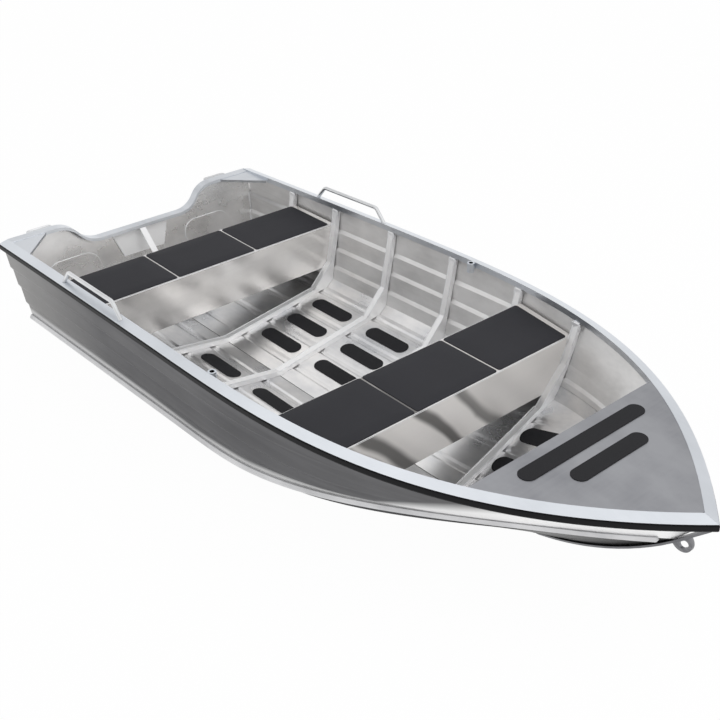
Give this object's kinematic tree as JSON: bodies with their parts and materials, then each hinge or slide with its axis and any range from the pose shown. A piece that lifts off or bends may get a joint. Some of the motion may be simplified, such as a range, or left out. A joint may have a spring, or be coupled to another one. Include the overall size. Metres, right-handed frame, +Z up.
{
  "type": "rowing boat",
  "caption": "Open aluminium rowing boat with a raked transom cut down for a motor, padded thwarts, ribbed floor, bow deck, rowlock sockets, lifting handles and a bow eye.",
  "frame": {"origin": "on the centreline, half way along the hull, at the level of the water that the empty boat floats on", "axes": "+X towards the bow, +Y to port, +Z up"},
  "size_m": [3.7483, 1.6076, 0.649],
  "materials": {
    "hull_aluminium": "mill finish",
    "rail_aluminium": "fine brushed",
    "frame_aluminium": "mill finish",
    "thwart_aluminium": "bright rolled",
    "motor_pad_aluminium": "satin",
    "eye_aluminium": "satin",
    "deck_aluminium": "matt",
    "seat_pad": "fine grain",
    "tread_rubber": "matt",
    "strip_rubber": "satin"
  },
  "bodies": {
    "root": {"aft_thwart": "thwart_aluminium", "aft_thwart_pad_centre": "seat_pad", "aft_thwart_pad_port": "seat_pad", "aft_thwart_pad_starboard": "seat_pad", "bottom_plate_port": "hull_aluminium", "bottom_plate_starboard": "hull_aluminium", "bow_deck": "deck_aluminium", "bow_eye": "eye_aluminium", "chine_strake_port": "hull_aluminium", "chine_strake_starboard": "hull_aluminium", "corner_plate_port": "rail_aluminium", "corner_plate_starboard": "rail_aluminium", "deck_pad_long": "tread_rubber", "deck_pad_short": "tread_rubber", "floor_pads_1": "tread_rubber", "floor_pads_2": "tread_rubber", "floor_pads_3": "tread_rubber", "floor_pads_4": "tread_rubber", "fore_thwart": "thwart_aluminium", "fore_thwart_pad_centre": "seat_pad", "fore_thwart_pad_port": "seat_pad", "fore_thwart_pad_starboard": "seat_pad", "gunwale_port": "rail_aluminium", "gunwale_starboard": "rail_aluminium", "keel_bar": "hull_aluminium", "motor_pad": "motor_pad_aluminium", "rib_1": "frame_aluminium", "rib_2": "frame_aluminium", "rib_3": "frame_aluminium", "rib_4": "frame_aluminium", "rib_5": "frame_aluminium", "rib_6": "frame_aluminium", "rowlock_socket_port": "rail_aluminium", "rowlock_socket_starboard": "rail_aluminium", "rubbing_strip_port": "strip_rubber", "rubbing_strip_starboard": "strip_rubber", "side_handle_port": "rail_aluminium", "side_handle_starboard": "rail_aluminium", "side_plate_port": "hull_aluminium", "side_plate_starboard": "hull_aluminium", "transom_brace": "frame_aluminium", "transom_cap": "rail_aluminium", "transom_handle_port": "rail_aluminium", "transom_handle_starboard": "rail_aluminium", "transom_panel": "frame_aluminium"}
  },
  "joints": []
}
